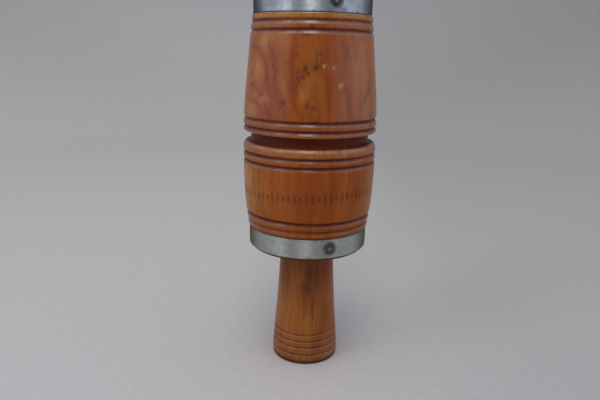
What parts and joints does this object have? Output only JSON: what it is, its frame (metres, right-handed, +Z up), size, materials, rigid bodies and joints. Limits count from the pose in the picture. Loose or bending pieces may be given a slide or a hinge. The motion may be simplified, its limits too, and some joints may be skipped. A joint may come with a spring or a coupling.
{
  "type": "wooden reed game call",
  "caption": "Turned wooden reed call: keg barrel with lanyard groove, ring grooves and pinned metal bands, on a flared stopper that carries a tone board and reed.",
  "frame": {"origin": "centre of the stopper's foot, on the face the call stands on", "axes": "+Z up the call's axis to the mouthpiece; -Y is the front, where the band pins are nearest; the tone board's flat face also looks towards -Y"},
  "size_m": [0.035, 0.035, 0.1002],
  "materials": {
    "barrel_wood": "old glossy varnish over orange-brown wood",
    "stopper_wood": "worn satin varnish over brown wood",
    "wedge_wood": "bare pale wood",
    "band_metal": "dull nickel-coloured metal with tarnish",
    "pin_metal": "dull domed nail head",
    "reed_brass": "rolled brass strip"
  },
  "bodies": {
    "stopper": {"stopper": "stopper_wood", "wedge_block": "wedge_wood"},
    "barrel": {"barrel": "barrel_wood", "mouth_band": "band_metal", "end_band": "band_metal", "mouth_pin_front": "pin_metal", "mouth_pin_rear": "pin_metal", "end_pin_front": "pin_metal", "end_pin_rear": "pin_metal"},
    "reed": {"reed": "reed_brass"}
  },
  "joints": [
    {"name": "barrel_pull", "type": "slide", "parent": "stopper", "child": "barrel", "axis": [0, 0, 1], "range_m": [0, 0.048]},
    {"name": "reed_bend", "type": "hinge", "parent": "stopper", "child": "reed", "pos_m": [0, 0, 0.05], "axis": [1, 0, 0], "range_deg": [-2.2, 1.5]}
  ]
}
